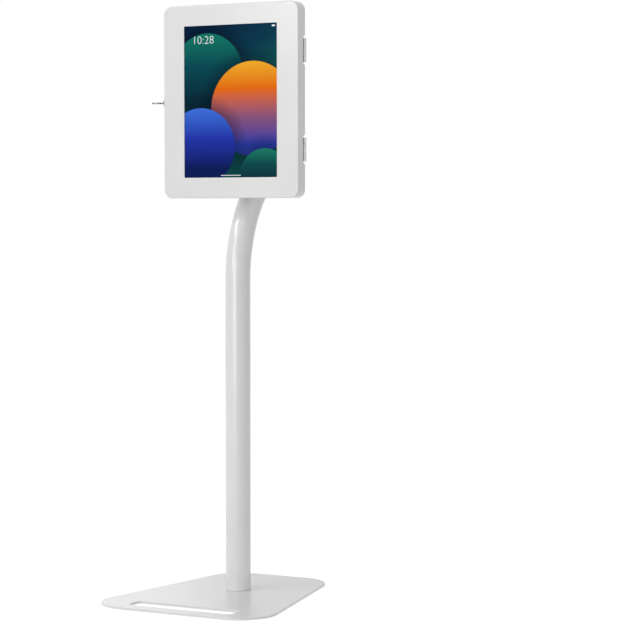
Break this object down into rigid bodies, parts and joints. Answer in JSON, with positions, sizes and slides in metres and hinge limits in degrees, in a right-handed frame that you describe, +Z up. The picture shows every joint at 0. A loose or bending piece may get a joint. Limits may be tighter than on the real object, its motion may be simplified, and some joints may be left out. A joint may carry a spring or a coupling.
{
  "type": "tablet kiosk stand",
  "caption": "Floor-standing tablet kiosk: a bent steel pole on a tapered base plate carries a lockable enclosure that frames a tablet and tilts, turns and opens.",
  "frame": {"origin": "on the floor, on the axis of the pole's straight part", "axes": "+Z up, screen faces -Y, lock on the -X side"},
  "size_m": [0.2817, 0.342, 0.8855],
  "materials": {
    "white_powder_coat": "satin",
    "zinc_plated_steel": "satin",
    "stainless_steel": "brushed",
    "nickel_plated_brass": "polished",
    "black_plastic": "matte",
    "natural_nylon": "matte",
    "black_rubber": "matte",
    "grey_foam": "matte",
    "dark_felt": "matte",
    "tablet_alloy": "bead blasted",
    "tablet_internals": "matte",
    "black_glass_border": "gloss",
    "lit_screen": "gloss"
  },
  "bodies": {
    "stand": {"base_plate": "white_powder_coat", "base_mat": "black_rubber", "base_screws": "zinc_plated_steel", "pole": "white_powder_coat", "pole_foot_plug": "zinc_plated_steel", "pole_cap": "black_plastic", "tilt_yoke": "white_powder_coat", "tilt_bolt": "zinc_plated_steel", "tilt_nut": "zinc_plated_steel", "tilt_washers": "zinc_plated_steel", "tilt_friction_rings": "natural_nylon", "tilt_stop_pin": "zinc_plated_steel"},
    "tilt_head": {"head_bracket": "white_powder_coat", "swivel_disc": "white_powder_coat", "swivel_pad": "natural_nylon", "swivel_spring": "zinc_plated_steel", "swivel_bolt": "zinc_plated_steel", "swivel_washer": "zinc_plated_steel", "swivel_nut": "zinc_plated_steel"},
    "enclosure": {"swivel_stop_pin": "zinc_plated_steel", "mounting_plate": "white_powder_coat", "mount_screws": "zinc_plated_steel", "mount_nuts": "zinc_plated_steel", "back_plate": "white_powder_coat", "cable_grommet": "black_rubber", "cradle_rails": "white_powder_coat", "tablet_pads": "grey_foam", "corner_clips": "white_powder_coat", "strike": "zinc_plated_steel", "hinge_frame_leaves": "zinc_plated_steel", "hinge_pins": "zinc_plated_steel", "tablet_case": "tablet_alloy", "tablet_core": "tablet_internals", "tablet_glass": "black_glass_border", "tablet_screen": "lit_screen"},
    "cover": {"front_cover": "white_powder_coat", "window_gasket": "dark_felt", "hinge_cover_leaves": "zinc_plated_steel", "lock_plate": "stainless_steel", "lock_body": "nickel_plated_brass", "lock_nut": "zinc_plated_steel"},
    "lock_cylinder": {"lock_plug": "nickel_plated_brass", "lock_cam": "zinc_plated_steel", "cam_screw": "zinc_plated_steel"},
    "key": {"key": "nickel_plated_brass"}
  },
  "joints": [
    {"name": "head_tilt", "type": "hinge", "parent": "stand", "child": "tilt_head", "pos_m": [0, 0.04, 0.741], "axis": [-1, 0, 0], "range_deg": [0, 60]},
    {"name": "head_swivel", "type": "hinge", "parent": "tilt_head", "child": "enclosure", "pos_m": [0, 0, 0.741], "axis": [0, 1, 0], "range_deg": [0, 90]},
    {"name": "cover_hinge", "type": "hinge", "parent": "enclosure", "child": "cover", "pos_m": [0.1143, -0.002, 0.741], "axis": [0, 0, 1], "range_deg": [0, 110]},
    {"name": "lock_turn", "type": "hinge", "parent": "cover", "child": "lock_cylinder", "pos_m": [-0.11, -0.01175, 0.741], "axis": [1, 0, 0], "range_deg": [0, 90]},
    {"name": "key_pull", "type": "slide", "parent": "lock_cylinder", "child": "key", "axis": [-1, 0, 0], "range_m": [0, 0.02]}
  ]
}
